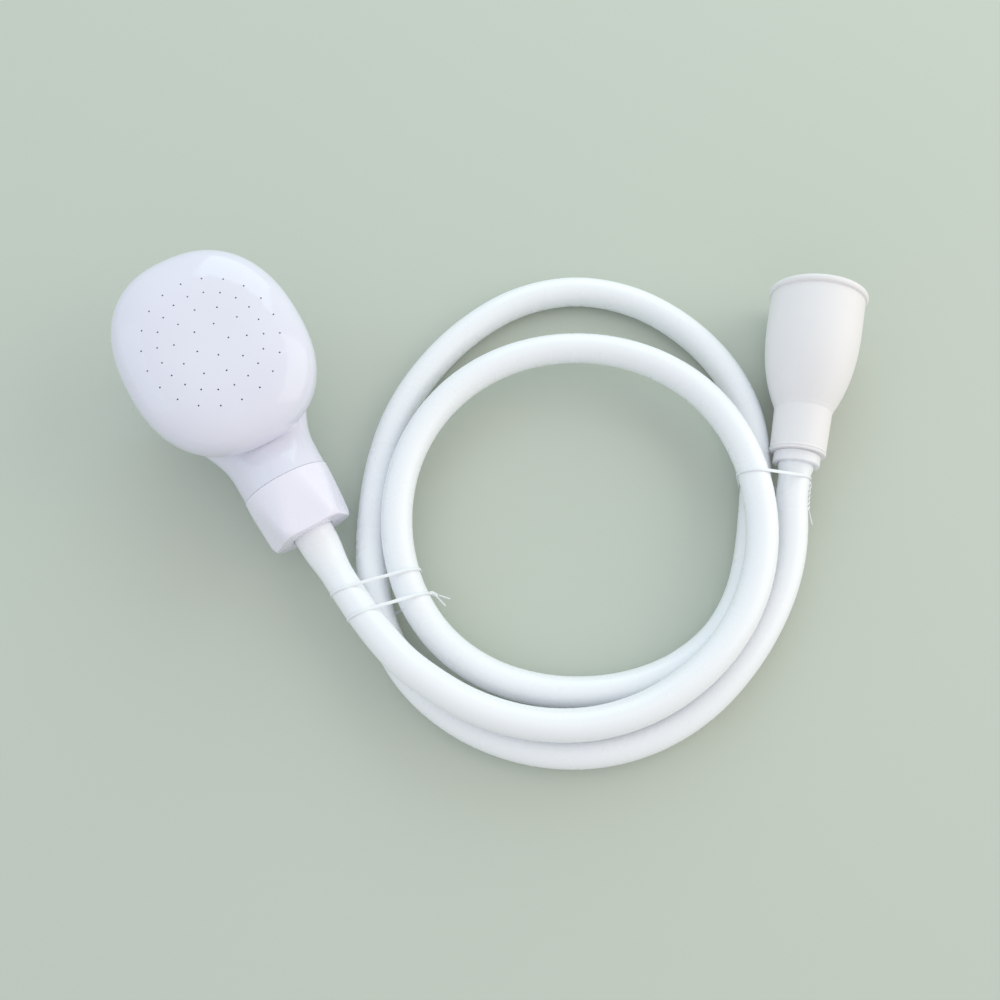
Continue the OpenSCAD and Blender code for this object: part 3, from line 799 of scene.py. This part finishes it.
# ---- Tap cup ----
def belly(u):
    """The cup's radius and height at a share u of the belly: from the shoulder's radius up to the body's, as
    1 - (1 - u)^2.55."""
    radius = SHOULDER_RADIUS + (LAND_RADIUS + CUP_WALL - SHOULDER_RADIUS) * (1 - (1 - u) ** BELLY_POWER)
    return np.stack([radius, BELLY_START + BELLY_HEIGHT * u], -1)


def tap_cup():
    """Neck with its bead, shoulder, belly, body and rolled lip outside; land, cone and insert seat inside."""
    neck = rounded([(CUP_HOSE_RADIUS + RUNNING_FIT, 0), (10.6, 0), (10.6, 1.0), (10.9, 1.3), (10.66, 1.75),
                    (11.05, 17.9), (11.42, 18.7)], 0.28)
    outside = belly(np.linspace(0, 1, 40)[1:])
    outside = outside[outside[:, 1] > SHOULDER_END]
    body, top = LAND_RADIUS + CUP_WALL, CUP_LENGTH
    a = np.linspace(-np.pi / 2, np.pi / 2, 13)
    lip = np.stack([LIP_RADIUS - 1.0 + np.abs(np.cos(a)) ** 0.7,
                    top - LIP_HALF_HEIGHT + LIP_HALF_HEIGHT * np.sin(a)], -1)
    under_lip = rounded([(body, BODY_START), (body, top - 3.3), (body - 0.2, top - 2.9), lip[0]], 0.25, 3)
    mouth = rounded([lip[-1], (LAND_RADIUS + 0.5, top), (LAND_RADIUS, top - 0.5),
                     (LAND_RADIUS, top - 0.4 - LAND_LENGTH)], 0.3, 3)[1:]
    inside = belly(np.linspace(0.8, 0.12, 16)) - [CUP_WALL, 0]
    seat = [(FLANGE_RADIUS, FLANGE_START + 2.5), (FLANGE_RADIUS, FLANGE_START),
            (CUP_HOSE_RADIUS + RUNNING_FIT, FLANGE_START)]
    points, faces = lathe(np.concatenate([neck, outside, under_lip, lip[1:], mouth, inside, seat]), 128)
    return piece("tap_cup", at_cup(points), faces, crease=45)


def collar():
    """The small ferrule under the cup: a turned ring with eased edges."""
    profile = rounded([(CUP_HOSE_RADIUS, -0.1), (CUP_HOSE_RADIUS, -4.0),
                       (CUP_HOSE_RADIUS + 0.3, -COLLAR_LENGTH), (COLLAR_RADIUS, -COLLAR_LENGTH),
                       (COLLAR_RADIUS, -0.05), (CUP_HOSE_RADIUS, -0.05)], 0.5)
    points, faces = lathe(profile, 96)
    return piece("hose_collar", at_cup(points), faces)


dress(tap_cup(), cup_rubber, "hose_line", "cup_rubber", "tap_bell")
dress(collar(), ferrule_plastic, "hose_line", "ferrule_plastic", "tap_ferrule")

# ---- Parts held inside keep their shape ----
for name, material in (("face_seal", seal_rubber), ("union_washer", seal_rubber),
                       ("head_tail", inner_plastic), ("tap_tail", inner_plastic)):
    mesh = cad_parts[name].data
    mesh.materials.clear()
    mesh.materials.append(material)

# ---- Floor and light ----
floor_mesh = bpy.data.meshes.new("floor")
floor_mesh.from_pydata([(-6, -6, 0), (6, -6, 0), (6, 6, 0), (-6, 6, 0)], [], [(0, 1, 2, 3)])
floor_mesh.materials.append(finish("pale green card", (0.552, 0.595, 0.527), 0.9, mottle=0.01, mottle_size=0.5,
                                   grain=0.00001, Specular_IOR_Level=0.2))
floor = bpy.data.objects.new("floor", floor_mesh)
bpy.context.scene.collection.objects.link(floor)

world = bpy.data.worlds.new("studio")
bpy.context.scene.world = world
world.use_nodes = True
world.node_tree.nodes["Background"].inputs["Color"].default_value = (1.0, 0.99, 1.0, 1)
world.node_tree.nodes["Background"].inputs["Strength"].default_value = 0.775


def lamp(name, place, size, watts, colour):
    """A square soft light at a place in metres, aimed at the middle of the floor."""
    light = bpy.data.lights.new(name, "AREA")
    light.shape, light.size, light.energy, light.color = "SQUARE", size, watts, colour
    made = bpy.data.objects.new(name, light)
    x, y, z = place
    made.location = place
    made.rotation_euler = (math.atan2(math.hypot(x, y), z), 0, math.atan2(y, x) + math.pi / 2)
    bpy.context.scene.collection.objects.link(made)


lamp("key", (1.0, 0.15, 0.5), 1.2, 4.8, (1.0, 0.99, 0.84))
lamp("top", (0.1, 1.0, 0.6), 0.8, 3.0, (0.62, 0.96, 1.0))
lamp("fill", (-1.1, -0.1, 0.8), 1.0, 1.6, (0.4, 0.88, 1.0))

bpy.context.scene.view_settings.view_transform = "Standard"
